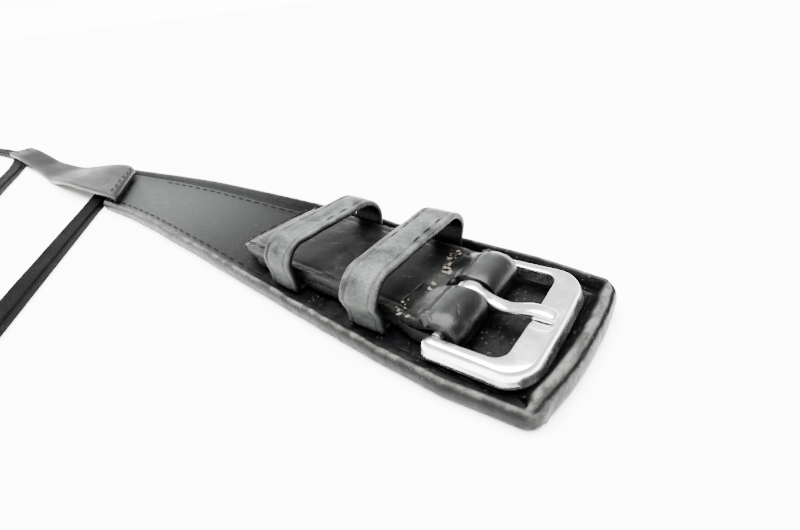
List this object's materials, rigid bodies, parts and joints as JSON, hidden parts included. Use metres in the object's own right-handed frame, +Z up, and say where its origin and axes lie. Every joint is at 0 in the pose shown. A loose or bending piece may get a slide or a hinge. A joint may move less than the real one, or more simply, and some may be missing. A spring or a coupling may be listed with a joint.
{
  "type": "buckled leather strap",
  "caption": "Leather strap end with a padded rimmed base, a folded chape holding a pin buckle on a spring bar, two keeper loops, and a thin tail with a narrow tie strap.",
  "frame": {"origin": "on the flat underside of the base, straight below the middle of the buckle bar's station", "axes": "+X along the strap towards the buckle's front bar, +Z up from the table, +Y across the strap"},
  "size_m": [0.2605, 0.094, 0.0116],
  "materials": {
    "grain_leather": "worn pebbled black grain with a low gloss",
    "chape_leather": "polished black with rubbed highlights and frayed edges",
    "keeper_leather": "satin grey-black, worn and finely scratched",
    "lining_leather": "matt black flesh side",
    "tail_leather": "smooth satin black",
    "tie_leather": "matt black",
    "core_board": "plain fibre board, hidden",
    "thread": "grey waxed thread",
    "buckle_steel": "polished with fine wear",
    "bar_steel": "plain bright steel"
  },
  "bodies": {
    "strap": {"base_lining": "lining_leather", "base_core": "core_board", "base_cover": "grain_leather", "edge_roll": "grain_leather", "base_stitches": "thread", "chape": "chape_leather", "chape_edge_stitches": "thread", "chape_tip_stitches": "thread", "fold_stitches": "thread", "front_keeper": "keeper_leather", "front_keeper_stitches": "thread", "tail_strap": "tail_leather", "tie_strap": "tie_leather", "junction_stitches": "thread", "end_stitches": "thread"},
    "sliding_keeper": {"rear_keeper": "keeper_leather", "rear_keeper_stitches": "thread"},
    "buckle": {"buckle_frame": "buckle_steel", "bar_tube": "bar_steel", "near_plunger": "bar_steel", "far_plunger": "bar_steel", "bar_spring": "bar_steel"},
    "prong": {"prong": "buckle_steel"}
  },
  "joints": [
    {"name": "keeper_slide", "type": "slide", "parent": "strap", "child": "sliding_keeper", "axis": [1, 0, 0], "range_m": [-0.001, 0.009]},
    {"name": "buckle_hinge", "type": "hinge", "parent": "strap", "child": "buckle", "pos_m": [0, -0.0008, 0.0046], "axis": [0.0698, -0.9976, 0], "range_deg": [0, 55]},
    {"name": "prong_hinge", "type": "hinge", "parent": "buckle", "child": "prong", "pos_m": [0, -0.0008, 0.0046], "axis": [0.0698, -0.9976, 0], "range_deg": [0, 65]}
  ]
}
